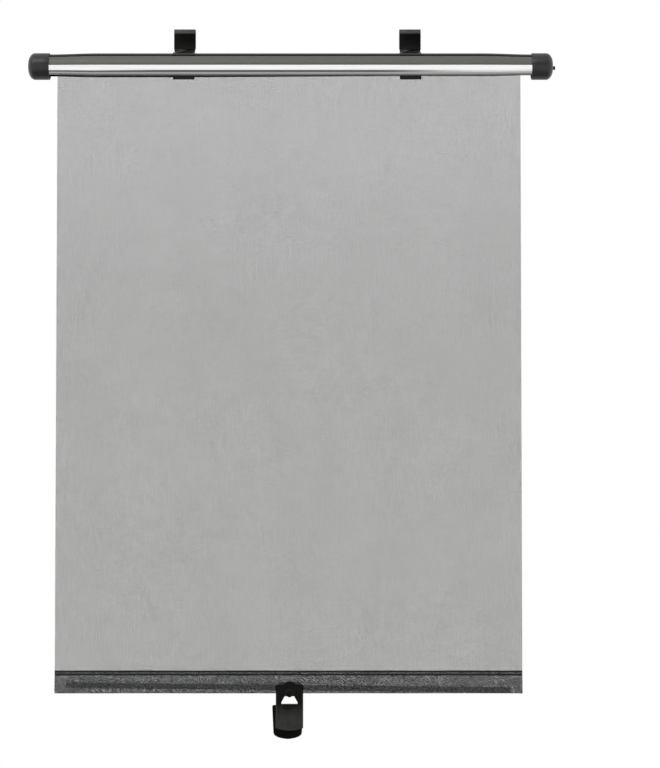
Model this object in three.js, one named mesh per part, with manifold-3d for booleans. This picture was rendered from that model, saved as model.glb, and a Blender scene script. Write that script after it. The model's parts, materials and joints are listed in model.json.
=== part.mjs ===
// Spring roller blind for a car side window, seen from the cabin (the viewer is at -Y).
// Millimetres, +Z up, +X to the right. The origin is the top edge of the window glass that the two
// hooks hang on: x = 0 is the middle of the cassette, y = 0 the middle of the glass, z = 0 the seat.

import * as THREE from 'three';
import { mergeVertices } from 'three/addons/utils/BufferGeometryUtils.js';
import Module from 'manifold-3d';

const wasm = await Module();
wasm.setup();

// General clearances
const fitGap = 0.3;
const slipGap = 0.15;

// Window glass and hooks
const glassGap = 5.0;
const hookWall = 1.5;
const hookWidth = 18.6;
const hookCentres = { left: -92.1, right: 103.5 };
const hookRearLeg = 14.0;
const hookCrown = 1.9;
const hookNeckWidth = 16.6;
const hookNeckHeight = 3.3;
const hookChamfer = 1.2;
const hookFootThickness = 1.0;
const hookLipThickness = 0.35;
const bandThickness = 0.5;
const tabDrop = 12.2;

// Cassette
const rollerDrop = 32.7;
const capRadius = 11.5;
const capWall = 0.8;
const capLength = 18.5;
const capDome = 6.0;
const capFlatRadius = 2.6;
const rimRound = 0.3;
const domeSteps = 6;
const roundSides = 28;
const housingInsert = 10.0;
const glassClearance = 0.5;
const housingRadius = 11.35;
const shellInner = 8.9;
const shellWall = 0.7;
const endPinch = 0.95;
const pinchLength = 42.0;
const shellStepAngle = 49.0;
const coverTopAngle = 43.0;
const trimTopAngle = 1.0;
const trimLowAngle = 50.0;
const slotFrontAngle = 45.0;
const slotRearAngle = 134.0;
const lipWidth = 1.0;
const lipInset = 5.0;

// Roller
const tubeOuter = 4.4;
const tubeWall = 0.6;
const tubeInset = 5.0;
const rollerOffset = 1.3;
const splineWidth = 1.0;
const flangeRadius = 5.0;
const flangeWidth = 1.6;
const spigotRunOut = 4.75;
const seatInset = 5.0;
const journalRadius = 1.5;
const bearingDepth = 6.0;
const bearingWall = 1.5;
const collarInner = 6.6;
const collarWall = 0.9;

// Fabric
const fabricThickness = 0.2;
const fabricWidth = 399.0;
const fabricCentre = -1.4;
const fabricSideGap = 8.5;
const rollTurns = 1.5;
const rollPitch = 0.3;
const hemTop = 519.4;
const hemHeight = 19.4;
const hemLip = 4.0;
const waleColumns = 60;
const waleRows = 2;
const gapWidth = 2.2;
const ridgeHeight = 0.15;
const ridgeWidth = 1.6;
const screenMargin = 6.0;

// Bottom bar
const barEndGap = 10.0;
const barHeight = 4.9;
const barThickness = 1.6;
const barInset = 14.4;
const barTilt = 0.64;

// Pull tab
const tabCentre = -0.5;
const tabWidth = 23.4;
const tabHeight = 36.6;
const tabBottomBulge = 2.0;
const tabThickness = 2.8;
const tabEdgeRadius = 2.3;
const tabCornerRadius = 1.4;
const tabArchRadius = 5.65;
const tabArchRise = 2.7;
const tabInset = 9.0;
const tabFlare = 3.0;
const tabFlareHeight = 14.7;
const rivetInset = 8.0;
const rivetStem = 1.6;
const rivetHead = 2.7;
const rivetHeadHeight = 1.1;
const rivetBossRadius = 4.2;
const rivetBossHeight = 0.6;
const windowInset = 1.8;
const windowHeight = 7.4;
const windowTopWidth = 10.2;
const windowBottomWidth = 14.9;
const scoopDepth = 1.3;
const scoopReach = 4.8;
const backThickness = 1.6;
const backTopInset = 1.1;
const backNeckWidth = 19.0;
const tongueInset = 0.5;
const tongueLength = 28.9;
const tongueWidth = 24.6;
const tongueTaper = 1.8;
const tongueOffset = -1.6;
const tongueCorner = 6.0;
const tongueShoulder = 1.6;

// Release button, its shaft and springs
const buttonTravel = 1.5;
const buttonReach = 2.0;
const buttonTipRadius = 1.85;
const buttonNeckRadius = 1.5;
const buttonFlangeRadius = 3.0;
const buttonFlangeWidth = 1.5;
const shaftRadius = 1.4;
const discWidth = 1.6;
const springWire = 0.35;
const springMean = 2.55;
const springTurns = 14;
const springSpan = 84.0;
const anchorLength = 8.0;
const returnWire = 0.25;
const returnMean = 2.3;
const returnTurns = 5;

// Sizes worked out from the values above
const rad = Math.PI / 180;
const axisY = -glassGap / 2 - glassClearance - capRadius;
const axisZ = -rollerDrop;
const shellOuter = shellInner + shellWall;
const bandInner = shellOuter + slipGap;
const bandOuter = bandInner + bandThickness;
const coverInner = bandOuter + slipGap;
const shellBackInner = housingRadius - shellWall;
const hookFootInner = housingRadius + slipGap;
const hookFootTop = hookFootInner + hookFootThickness;
const capBore = capRadius - capWall;
const mouthX = fabricWidth / 2 + fabricSideGap;
const capTipX = mouthX + capLength;
const capFloorX = capTipX - capWall - 0.6;
const housingEnd = mouthX + housingInsert;
const tubeLength = 2 * (mouthX - tubeInset);
const tubeInner = tubeOuter - tubeWall;
const spigotRadius = tubeInner - slipGap;
const spigotLength = seatInset + slipGap + discWidth + buttonTravel + spigotRunOut;
const rollStart = tubeOuter + slipGap + fabricThickness / 2;
const rollEnd = rollStart + rollTurns * rollPitch;
const fabricPlane = -rollEnd;
const tabInnerFace = fabricPlane - fabricThickness / 2 - ridgeHeight - fitGap;
const hemBack = fabricPlane + fabricThickness / 2;
const pouchDepth = barThickness + 2 * (fitGap + fabricThickness);
const hemFront = hemBack - pouchDepth;
const hemBottom = hemTop + hemHeight;
const barCentreDrop = hemTop + barInset;
const tabArchTop = hemTop + tabInset;
const tabTop = tabArchTop + tabArchRise;
const tabBottom = tabTop + tabHeight;
const tabFlareStart = tabBottom - tabFlareHeight;
const rivetDrop = tabTop + rivetInset;
const windowTop = rivetDrop + windowInset;
const windowBottom = windowTop + windowHeight;
const backTop = tabArchTop + backTopInset;
const tongueTop = windowBottom + tongueInset;
const tongueBottom = tongueTop + tongueLength;
const tabBackFace = hemFront - fitGap;
const backFrontFace = hemBack + fitGap;

function material(colour, roughness, metalness) {
  return new THREE.MeshStandardMaterial({ color: colour, roughness, metalness });
}

const finishes = {
  blackPlastic: () => material(0x232323, 0.42, 0.0),
  greyCover: () => material(0x5c5c5b, 0.45, 0.0),
  chrome: () => material(0xd9d9d9, 0.08, 1.0),
  meshFabric: () => material(0x77787a, 0.85, 0.0),
  steel: () => material(0x9b9d9f, 0.35, 1.0),
  nylon: () => material(0xd8d6cf, 0.5, 0.0),
};

function namedMesh(name, geometry, finish) {
  const mesh = new THREE.Mesh(geometry, finish());
  mesh.name = name;
  return mesh;
}

// Manifold solids and three.js geometries are turned into each other for joins and cuts.
function toSolid(geometry) {
  const bare = geometry.clone();
  bare.deleteAttribute('normal');
  bare.deleteAttribute('uv');
  const merged = mergeVertices(bare, 1e-4);
  const mesh = new wasm.Mesh({
    numProp: 3,
    vertProperties: new Float32Array(merged.attributes.position.array),
    triVerts: new Uint32Array(merged.index.array),
  });
  return new wasm.Manifold(mesh);
}

function toGeometry(solid) {
  const mesh = solid.getMesh();
  const geometry = new THREE.BufferGeometry();
  geometry.setAttribute('position', new THREE.BufferAttribute(new Float32Array(mesh.vertProperties), 3));
  geometry.setIndex(new THREE.BufferAttribute(new Uint32Array(mesh.triVerts), 1));
  geometry.computeVertexNormals();
  return geometry;
}

function shapeOf(points) {
  return new THREE.Shape(points.map(([a, b]) => new THREE.Vector2(a, b)));
}

// A side profile in (y, z) becomes a bar along X that has a cross-section at each station.
function extrudeAlongX(shape, stations) {
  const steps = stations.length - 1;
  const geometry = new THREE.ExtrudeGeometry(shape, { depth: steps, steps, bevelEnabled: false });
  const position = geometry.attributes.position;
  for (let i = 0; i < position.count; i += 1) {
    const station = stations[Math.round(position.getZ(i))];
    position.setXYZ(i, station, position.getX(i), position.getY(i));
  }
  geometry.computeVertexNormals();
  return geometry;
}

// A front outline in (x, z) becomes a plate whose front face is at y = front.
function extrudeAlongY(shape, front, depth) {
  const geometry = new THREE.ExtrudeGeometry(shape, { depth, bevelEnabled: false, curveSegments: 10 });
  geometry.rotateX(Math.PI / 2);
  geometry.translate(0, front + depth, 0);
  return geometry;
}

// A profile of (radius, x) pairs is turned about the roller's axis.
function turn(profile, segments) {
  const points = profile.map(([radius, x]) => new THREE.Vector2(radius, x));
  const geometry = new THREE.LatheGeometry(points, segments);
  geometry.rotateZ(-Math.PI / 2);
  const bare = geometry.clone();
  bare.deleteAttribute('normal');
  bare.deleteAttribute('uv');
  const solid = mergeVertices(bare, 1e-4);
  return facingOut(solid);
}

function facingOut(geometry) {
  const position = geometry.attributes.position;
  const index = Array.from(geometry.index.array);
  const corner = new THREE.Vector3();
  const second = new THREE.Vector3();
  const third = new THREE.Vector3();
  const kept = [];
  let volume = 0;
  for (let i = 0; i < index.length; i += 3) {
    const [a, b, c] = index.slice(i, i + 3);
    if (a !== b && b !== c && c !== a) {
      corner.fromBufferAttribute(position, a);
      second.fromBufferAttribute(position, b);
      third.fromBufferAttribute(position, c);
      volume += corner.dot(second.cross(third));
      kept.push([a, b, c]);
    }
  }
  const ordered = volume < 0 ? kept.map(([a, b, c]) => [a, c, b]) : kept;
  geometry.setIndex(ordered.flat());
  geometry.computeVertexNormals();
  return geometry;
}

function closedRing(profile) {
  return [...profile, profile[0]];
}

// Angles round the cassette start at the front (-Y) and are positive upwards.
function polar(radius, degrees) {
  return [-radius * Math.cos(degrees * rad), radius * Math.sin(degrees * rad)];
}

function arc(radius, from, to, count) {
  const points = [];
  for (let i = 0; i <= count; i += 1) {
    points.push(polar(radius, from + ((to - from) * i) / count));
  }
  return points;
}

// The cassette's strips spring open in the middle and are pinched by the caps at both ends.
function pinchAt(x) {
  const share = (Math.abs(x) - (mouthX - pinchLength)) / pinchLength;
  const t = Math.min(1, Math.max(0, share));
  return endPinch * t * t * (3 - 2 * t);
}

function pinchStations() {
  const inner = [0.0, 0.25, 0.5, 0.75, 1.0].map((share) => mouthX - pinchLength * (1 - share));
  const half = [...inner, housingEnd];
  return [...half.map((x) => -x).reverse(), ...half];
}

function pinched(shape) {
  const geometry = extrudeAlongX(shape, pinchStations());
  const position = geometry.attributes.position;
  for (let i = 0; i < position.count; i += 1) {
    const radius = Math.hypot(position.getY(i), position.getZ(i));
    const scale = (radius - pinchAt(position.getX(i))) / radius;
    position.setY(i, position.getY(i) * scale);
    position.setZ(i, position.getZ(i) * scale);
  }
  geometry.computeVertexNormals();
  return geometry;
}

// The shell is a C-shaped profile, open below where the fabric leaves. Its front is set back by a step,
// so that the cover and the trim lie flush with its top and back.
function housingShell() {
  const rearEnd = 360 - slotRearAngle;
  const stepInside = shellStepAngle + shellWall / shellInner / rad;
  const outer = [
    ...arc(shellOuter, -slotFrontAngle, shellStepAngle, 12),
    ...arc(housingRadius, shellStepAngle, rearEnd, 17),
  ];
  const inner = [
    ...arc(shellBackInner, rearEnd, stepInside, 17),
    ...arc(shellInner, stepInside, -slotFrontAngle, 12),
  ];
  return pinched(shapeOf([...outer, ...inner]));
}

// A strip over the front of the shell stands on ribs, which are notched for the hook bands.
function frontStrip(top, bottom, ribs) {
  const ribAngle = (lipWidth / coverInner) / rad;
  const seat = shellOuter + slipGap;
  const ribTop = top - lipInset;
  const ribBottom = bottom + lipInset;
  const points = [...arc(housingRadius, bottom, top, 10), polar(coverInner, top)];
  if (ribs.top) {
    points.push(polar(coverInner, ribTop), polar(seat, ribTop));
    points.push(polar(seat, ribTop - ribAngle), polar(coverInner, ribTop - ribAngle));
  }
  points.push(...arc(coverInner, ribTop - 2 * ribAngle, ribBottom + 2 * ribAngle, 6));
  if (ribs.bottom) {
    points.push(polar(coverInner, ribBottom + ribAngle), polar(seat, ribBottom + ribAngle));
    points.push(polar(seat, ribBottom), polar(coverInner, ribBottom));
  }
  points.push(polar(coverInner, bottom));
  let solid = toSolid(pinched(shapeOf(points)));
  for (const centre of Object.values(hookCentres)) {
    const half = hookWidth / 2 + fitGap;
    const notch = extrudeAlongX(
      shapeOf([...arc(coverInner, -trimLowAngle - 8, coverTopAngle + 8, 24), [0, 0]]),
      [centre - half, centre + half],
    );
    solid = solid.subtract(toSolid(notch));
  }
  return toGeometry(solid);
}

function frontCover() {
  return frontStrip(coverTopAngle, trimTopAngle, { top: true, bottom: false });
}

function chromeTrim() {
  const seam = (slipGap / housingRadius) / rad;
  return frontStrip(trimTopAngle - seam, -trimLowAngle, { top: false, bottom: true });
}

// The domed end of a cap, from its rim to its flat middle.
function capDomeProfile() {
  const points = [];
  const reach = capRadius - capFlatRadius;
  for (let i = 0; i <= domeSteps; i += 1) {
    const angle = (i / domeSteps) * (Math.PI / 2);
    const radius = capFlatRadius + reach * Math.cos(angle);
    points.push([radius, capTipX - capDome + capDome * Math.sin(angle)]);
  }
  return points;
}

// A cap is a domed cup with a collar inside that the shell's end slips over, and a hub for the roller.
// The roller's axis, and with it the hub, lies a little below the middle of the cap.
function endCap(boreRadius, boreEnd) {
  const hubFace = capFloorX - bearingDepth;
  const collarFace = mouthX + capWall;
  const wallEnd = capTipX - capDome;
  const rim = [[0, mouthX], [capRadius - rimRound, mouthX], [capRadius, mouthX + rimRound]];
  const cup = toSolid(turn([...rim, ...capDomeProfile(), [0, capTipX]], roundSides));
  const cavity = toSolid(turn([
    [0, mouthX - 1],
    [capBore, mouthX - 1],
    [capBore, wallEnd],
    [capBore * 0.94, wallEnd + capDome * 0.36],
    [capBore * 0.78, capFloorX - 0.9],
    [capBore * 0.5, capFloorX],
    [0, capFloorX],
  ], 24));
  const collar = toSolid(turn(closedRing([
    [collarInner, collarFace],
    [collarInner + collarWall, collarFace],
    [collarInner + collarWall, capFloorX + 0.4],
    [collarInner, capFloorX + 0.4],
  ]), 24));
  const hub = toSolid(turn([
    [0, hubFace],
    [boreRadius + bearingWall, hubFace],
    [boreRadius + bearingWall, capFloorX + 0.4],
    [0, capFloorX + 0.4],
  ], 24)).translate(0, 0, -rollerOffset);
  const bore = toSolid(turn([
    [0, hubFace - 1],
    [boreRadius, hubFace - 1],
    [boreRadius, boreEnd],
    [0, boreEnd],
  ], 24)).translate(0, 0, -rollerOffset);
  return toGeometry(cup.subtract(cavity).add(collar).add(hub).subtract(bore));
}

function endCapLeft() {
  const geometry = endCap(journalRadius + fitGap, capFloorX - slipGap);
  geometry.scale(-1, 1, 1);
  return facingOut(geometry);
}

function endCapRight() {
  return endCap(buttonTipRadius + fitGap, capTipX + 1);
}

// The hook is one moulded strip: a thin band behind the trim and cover that comes out through the seam
// over the cover, a foot on top of the shell, a leg up the cabin side of the glass and a short leg down
// its outer side.
function hookProfile() {
  const legBack = glassGap / -2 - axisY;
  const legFront = legBack - hookWall;
  const rearFront = legBack + glassGap;
  const rearBack = rearFront + hookWall;
  const seat = rollerDrop;
  const crown = seat + hookCrown;
  const bandStart = -Math.acos(-tabInnerFace / bandInner) / rad;
  const tabOuterFace = tabInnerFace - bandThickness;
  const riserHalf = bandThickness / 2 / housingRadius / rad;
  const riserMiddle = (coverTopAngle + shellStepAngle) / 2;
  const corner = hookCrown;
  const points = [[tabInnerFace, -tabDrop]];
  points.push(...arc(bandInner, bandStart, riserMiddle + riserHalf, 14));
  points.push(...arc(hookFootInner, riserMiddle + riserHalf, 90, 6));
  points.push([legBack, hookFootInner]);
  points.push([legBack, seat], [rearFront, seat]);
  points.push([rearFront, seat - hookRearLeg + 2], [rearFront + 0.5, seat - hookRearLeg]);
  points.push([rearBack, seat - hookRearLeg]);
  for (let i = 0; i <= 5; i += 1) {
    const angle = (i / 5) * 90 * rad;
    points.push([rearBack - corner + corner * Math.cos(angle), crown - corner + corner * Math.sin(angle)]);
  }
  for (let i = 0; i <= 5; i += 1) {
    const angle = (90 + (i / 5) * 90) * rad;
    points.push([legFront + corner + corner * Math.cos(angle), crown - corner + corner * Math.sin(angle)]);
  }
  points.push([legFront, hookFootTop + 0.6], [legFront - 0.6, hookFootTop]);
  for (let i = 0; i <= 6; i += 1) {
    const thickness = hookFootThickness + ((hookLipThickness - hookFootThickness) * i) / 6;
    const degrees = 90 + ((riserMiddle - riserHalf - 90) * i) / 6;
    points.push(polar(hookFootInner + thickness, degrees));
  }
  points.push(...arc(bandOuter, riserMiddle - riserHalf, -Math.acos(-tabOuterFace / bandOuter) / rad, 14));
  points.push([tabOuterFace, -tabDrop]);
  return shapeOf(points);
}

function windowHook(centre) {
  const half = hookWidth / 2;
  let solid = toSolid(extrudeAlongX(hookProfile(), [centre - half, centre + half]));
  const neck = hookNeckWidth / 2;
  const neckTop = hookFootTop + hookNeckHeight;
  for (const side of [-1, 1]) {
    const outline = shapeOf([
      [centre + side * neck, hookFootTop + 0.1],
      [centre + side * (half + 1), hookFootTop + 0.1],
      [centre + side * (half + 1), neckTop + hookChamfer + 1],
      [centre + side * half, neckTop + hookChamfer],
      [centre + side * (half - hookChamfer), neckTop],
      [centre + side * neck, neckTop],
    ]);
    const cutter = extrudeAlongY(outline, capRadius - 6, 8);
    solid = solid.subtract(toSolid(cutter));
  }
  return toGeometry(solid);
}

// The roller's tube has a slit that the retaining spline holds the fabric's end in.
function rollerTube() {
  const half = tubeLength / 2;
  const slit = (splineWidth / 2 + fitGap) / tubeOuter / rad;
  const outer = arc(tubeOuter, 180 + slit, 540 - slit, 28);
  const inner = arc(tubeInner, 540 - slit, 180 + slit, 28);
  return extrudeAlongX(shapeOf([...outer, ...inner]), [-half, half]);
}

function fabricSpline() {
  const half = fabricWidth / 2;
  const low = tubeInner + 0.02;
  const high = tubeOuter - 0.03;
  const wide = splineWidth / 2;
  const section = shapeOf([[low, -wide], [high, -wide], [high, wide], [low, wide]]);
  return extrudeAlongX(section, [fabricCentre - half, fabricCentre + half]);
}

function rollerPlugLeft() {
  const end = tubeLength / 2;
  const shoulder = capFloorX - bearingDepth - 0.6;
  const profile = [
    [0, end - spigotLength],
    [spigotRadius - 0.5, end - spigotLength],
    [spigotRadius, end - spigotLength + 0.8],
    [spigotRadius, end + slipGap],
    [flangeRadius, end + slipGap],
    [flangeRadius, end + slipGap + flangeWidth],
    [journalRadius + 1, end + slipGap + flangeWidth],
    [journalRadius + 1, shoulder],
    [journalRadius, shoulder],
    [journalRadius, capFloorX - 1.2],
    [journalRadius - 0.4, capFloorX - 0.8],
    [0, capFloorX - 0.8],
  ];
  const geometry = turn(profile, 20);
  geometry.scale(-1, 1, 1);
  return facingOut(geometry);
}

const seatX = tubeLength / 2 - seatInset;

// The right plug is a bush: the shaft runs through it, and the brake disc bears on its inner face.
function rollerPlugRight() {
  const end = tubeLength / 2;
  const bore = shaftRadius + fitGap;
  const cup = spigotRadius - 0.7;
  return turn(closedRing([
    [cup, end - spigotLength],
    [spigotRadius, end - spigotLength],
    [spigotRadius, end + slipGap],
    [flangeRadius, end + slipGap],
    [flangeRadius, end + slipGap + flangeWidth],
    [bore, end + slipGap + flangeWidth],
    [bore, seatX],
    [cup, seatX],
  ]), 20);
}

function brakeDisc() {
  const face = seatX - slipGap;
  const radius = spigotRadius - 0.7 - fitGap;
  const bore = shaftRadius + slipGap;
  return turn(closedRing([
    [bore, face - discWidth],
    [radius - 0.4, face - discWidth],
    [radius, face - discWidth + 0.4],
    [radius, face],
    [bore, face],
  ]), 20);
}

const flangeFace = capFloorX - bearingDepth - slipGap;
const shaftEnd = flangeFace - buttonFlangeWidth - slipGap;
const springStart = tubeLength / 2 - spigotLength - fitGap - springWire - springSpan;
const shaftStart = springStart - anchorLength;

function springArbor() {
  return turn([
    [0, shaftStart],
    [shaftRadius - 0.3, shaftStart],
    [shaftRadius, shaftStart + 0.5],
    [shaftRadius, shaftEnd],
    [0, shaftEnd],
  ], 16);
}

function releaseButton() {
  const tip = capTipX + buttonReach;
  const flangeInner = flangeFace - buttonFlangeWidth;
  return turn([
    [0, flangeInner],
    [buttonFlangeRadius, flangeInner],
    [buttonFlangeRadius, flangeFace],
    [buttonTipRadius, flangeFace],
    [buttonTipRadius, capTipX - 0.9],
    [buttonNeckRadius, capTipX - 0.6],
    [buttonNeckRadius, tip - 1.2],
    [buttonTipRadius, tip - 1.0],
    [buttonTipRadius, tip - 0.4],
    [buttonTipRadius - 0.5, tip],
    [0, tip],
  ], 20);
}

// A coil spring follows a helix about the roller's axis.
class Helix extends THREE.Curve {
  constructor(radius, start, length, turns) {
    super();
    this.radius = radius;
    this.start = start;
    this.length = length;
    this.turns = turns;
  }

  getPoint(t) {
    const angle = 2 * Math.PI * this.turns * t;
    const y = this.radius * Math.cos(angle);
    const z = this.radius * Math.sin(angle);
    return new THREE.Vector3(this.start + this.length * t, y, z);
  }
}

function coil(mean, wire, start, length, turns, steps, sides) {
  const section = [];
  for (let i = 0; i < sides; i += 1) {
    const angle = (2 * Math.PI * i) / sides;
    section.push([wire * Math.cos(angle), wire * Math.sin(angle)]);
  }
  const path = new Helix(mean, start, length, turns);
  return new THREE.ExtrudeGeometry(shapeOf(section), {
    steps: turns * steps,
    extrudePath: path,
    bevelEnabled: false,
  });
}

function torsionSpring() {
  return coil(springMean, springWire, springStart, springSpan, springTurns, 10, 4);
}

function springAnchor() {
  const bore = shaftRadius + fitGap;
  const end = springStart - fitGap - springWire;
  return turn(closedRing([
    [bore, end - anchorLength],
    [spigotRadius, end - anchorLength],
    [spigotRadius, end],
    [bore, end],
  ]), 20);
}

function buttonSpring() {
  const start = tubeLength / 2 + slipGap + flangeWidth + fitGap + returnWire;
  const end = flangeFace - buttonFlangeWidth - fitGap - returnWire;
  return coil(returnMean, returnWire, start, end - start, returnTurns, 10, 4);
}

// What stays on the roller when the screen is drawn out is a strip of fabric in a spiral.
function fabricRoll() {
  const count = Math.round(rollTurns * 24);
  const inner = [];
  const outer = [];
  for (let i = 0; i <= count; i += 1) {
    const share = i / count;
    const degrees = 360 * rollTurns * (1 - share);
    const middle = rollStart + rollPitch * rollTurns * share;
    outer.push(polar(middle + fabricThickness / 2, degrees));
    inner.push(polar(middle - fabricThickness / 2, degrees));
  }
  const half = fabricWidth / 2;
  const section = shapeOf([...outer, ...inner.reverse()]);
  return extrudeAlongX(section, [fabricCentre - half, fabricCentre + half]);
}

// The screen is one thin wall with a ridge on each wale and gaps between the ridges.
function fabricScreen() {
  const left = fabricCentre - fabricWidth / 2;
  const pitch = fabricWidth / waleColumns;
  const back = fabricPlane + fabricThickness / 2;
  const front = fabricPlane - fabricThickness / 2;
  const top = -rollerOffset - fitGap;
  const bottom = -hemTop + slipGap;
  const section = [[left + fabricWidth, back], [left, back], [left, front]];
  for (let i = 1; i < waleColumns; i += 1) {
    const middle = left + i * pitch;
    section.push([middle - ridgeWidth / 2, front]);
    section.push([middle, front - ridgeHeight]);
    section.push([middle + ridgeWidth / 2, front]);
  }
  section.push([left + fabricWidth, front]);
  const wall = new THREE.ExtrudeGeometry(shapeOf(section.reverse()), {
    depth: top - bottom,
    bevelEnabled: false,
  });
  wall.translate(0, 0, bottom);
  const cutTop = -tabDrop - screenMargin;
  const cutBottom = bottom + screenMargin;
  const rowPitch = (cutTop - cutBottom + screenMargin) / waleRows;
  const cutters = [];
  for (let row = 0; row < waleRows; row += 1) {
    for (let column = 0; column < waleColumns; column += 1) {
      const box = new THREE.BoxGeometry(gapWidth, 4, rowPitch - screenMargin);
      const low = cutBottom + row * rowPitch;
      box.translate(left + (column + 0.5) * pitch, fabricPlane, low + (rowPitch - screenMargin) / 2);
      cutters.push(toSolid(box));
    }
  }
  return toGeometry(toSolid(wall).subtract(wasm.Manifold.union(cutters)));
}

// The hem is the fabric folded round the bottom bar and sewn to itself along its top edge.
function hemProfile() {
  const seamFront = hemBack - 3 * fabricThickness;
  const pouchTop = -hemTop - hemLip;
  const bottom = -hemBottom;
  const radius = pouchDepth / 2;
  const middle = hemBack - radius;
  const outline = [[hemBack, -hemTop], [seamFront, -hemTop], [seamFront, pouchTop]];
  outline.push([hemFront, pouchTop - 5]);
  for (let i = 0; i <= 6; i += 1) {
    const angle = (180 + 30 * i) * rad;
    outline.push([middle + radius * Math.cos(angle), bottom + radius + radius * Math.sin(angle)]);
  }
  const shape = shapeOf(outline);
  const innerRadius = radius - fabricThickness;
  const hole = [[hemBack - fabricThickness, pouchTop - 0.6]];
  hole.push([seamFront - 0.05, pouchTop - 0.8], [hemFront + fabricThickness, pouchTop - 5.1]);
  for (let i = 0; i <= 6; i += 1) {
    const angle = (180 + 30 * i) * rad;
    hole.push([middle + innerRadius * Math.cos(angle), bottom + radius + innerRadius * Math.sin(angle)]);
  }
  shape.holes.push(new THREE.Path(hole.map(([a, b]) => new THREE.Vector2(a, b))));
  return shape;
}

function stemThrough(radius) {
  const reach = 4 * (pouchDepth + tabThickness + backThickness);
  const stem = new THREE.CylinderGeometry(radius, radius, reach, 16);
  stem.translate(tabCentre, fabricPlane, -rivetDrop);
  return toSolid(stem);
}

function fabricHem() {
  const half = fabricWidth / 2;
  const sleeve = extrudeAlongX(hemProfile(), [fabricCentre - half, fabricCentre + half]);
  return toGeometry(toSolid(sleeve).subtract(stemThrough(rivetStem + fitGap)));
}

function bottomBar() {
  const section = [];
  const half = barThickness / 2;
  for (let i = 0; i < 12; i += 1) {
    const angle = (30 * i + 15) * rad;
    const side = Math.sin(angle) > 0 ? 1 : -1;
    section.push([half * Math.cos(angle), side * (barHeight / 2 - half) + half * Math.sin(angle)]);
  }
  const reach = fabricWidth / 2 - barEndGap;
  const bar = extrudeAlongX(shapeOf(section), [-reach, reach]);
  bar.rotateY(barTilt * rad);
  bar.translate(fabricCentre, hemBack - pouchDepth / 2, -barCentreDrop);
  return bar;
}

// The window in the pull tab is narrow under the rivet and wide at its sill.
function tabWindow() {
  const top = windowTopWidth / 2;
  const bottom = windowBottomWidth / 2;
  const corner = 1.6;
  const path = new THREE.Shape();
  path.moveTo(tabCentre - bottom, -windowBottom);
  path.lineTo(tabCentre + bottom, -windowBottom);
  path.quadraticCurveTo(tabCentre + bottom, -windowTop - corner, tabCentre + top, -windowTop);
  path.lineTo(tabCentre - top, -windowTop);
  path.quadraticCurveTo(tabCentre - bottom, -windowTop - corner, tabCentre - bottom, -windowBottom);
  return path;
}

function tabOutline() {
  const half = tabWidth / 2;
  const left = tabCentre - half;
  const right = tabCentre + half;
  const shape = new THREE.Shape();
  shape.moveTo(left, -tabBottom);
  shape.quadraticCurveTo(tabCentre, -tabBottom - 2 * tabBottomBulge, right, -tabBottom);
  shape.lineTo(right, -tabTop - tabCornerRadius);
  shape.quadraticCurveTo(right, -tabTop, right - tabCornerRadius, -tabTop);
  shape.lineTo(left + tabCornerRadius, -tabTop);
  shape.quadraticCurveTo(left, -tabTop, left, -tabTop - tabCornerRadius);
  return shape;
}

// The plate is straight over the hem's bar and flares towards the fingers below.
function tabShift(z) {
  const share = Math.max(0, (-tabFlareStart - z) / (tabBottom + tabBottomBulge - tabFlareStart));
  return tabFlare * share * share;
}

// The plate's section is flat behind and has well rounded long edges in front.
function tabBlank() {
  const half = tabWidth / 2;
  const radius = tabEdgeRadius;
  const front = tabBackFace - tabThickness;
  const section = [[tabCentre + half, tabBackFace], [tabCentre - half, tabBackFace]];
  for (let i = 0; i <= 4; i += 1) {
    const angle = (i / 4) * 90 * rad;
    const along = radius * (1 - Math.cos(angle));
    section.push([tabCentre - half + along, front + radius - radius * Math.sin(angle)]);
  }
  for (let i = 4; i >= 0; i -= 1) {
    const angle = (i / 4) * 90 * rad;
    const along = radius * (1 - Math.cos(angle));
    section.push([tabCentre + half - along, front + radius - radius * Math.sin(angle)]);
  }
  const low = -tabBottom - tabBottomBulge - 0.5;
  const heights = [low];
  for (let i = 1; i <= 8; i += 1) {
    heights.push(low + ((-tabFlareStart - low) * i) / 8);
  }
  heights.push(-tabArchTop + 0.5);
  const steps = heights.length - 1;
  const geometry = new THREE.ExtrudeGeometry(shapeOf(section), { depth: steps, steps, bevelEnabled: false });
  const position = geometry.attributes.position;
  for (let i = 0; i < position.count; i += 1) {
    const z = heights[Math.round(position.getZ(i))];
    position.setXYZ(i, position.getX(i), position.getY(i) - tabShift(z), z);
  }
  return toSolid(geometry);
}

function pullTabFront() {
  const frontFace = tabBackFace - tabThickness;
  const reach = tabThickness + tabFlare + 4;
  const start = frontFace - tabFlare - 2;
  const arch = new THREE.CylinderGeometry(tabArchRadius, tabArchRadius, reach, 28);
  arch.translate(tabCentre, start + reach / 2, -tabArchTop - tabArchRadius);
  const outline = toSolid(extrudeAlongY(tabOutline(), start, reach)).add(toSolid(arch));
  const boss = new THREE.CylinderGeometry(rivetBossRadius, rivetBossRadius - 0.4, rivetBossHeight, 28);
  boss.translate(tabCentre, frontFace - rivetBossHeight / 2 + 0.01, -rivetDrop);
  const opening = toSolid(extrudeAlongY(tabWindow(), frontFace - 4, 12));
  const scoop = new THREE.SphereGeometry(1, 20, 12);
  scoop.scale(windowBottomWidth / 2 - 0.7, scoopDepth, scoopReach);
  scoop.translate(tabCentre, frontFace, -windowBottom);
  return toGeometry(
    tabBlank()
      .intersect(outline)
      .add(toSolid(boss))
      .subtract(toSolid(scoop))
      .subtract(opening)
      .subtract(stemThrough(rivetStem + fitGap)),
  );
}

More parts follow.
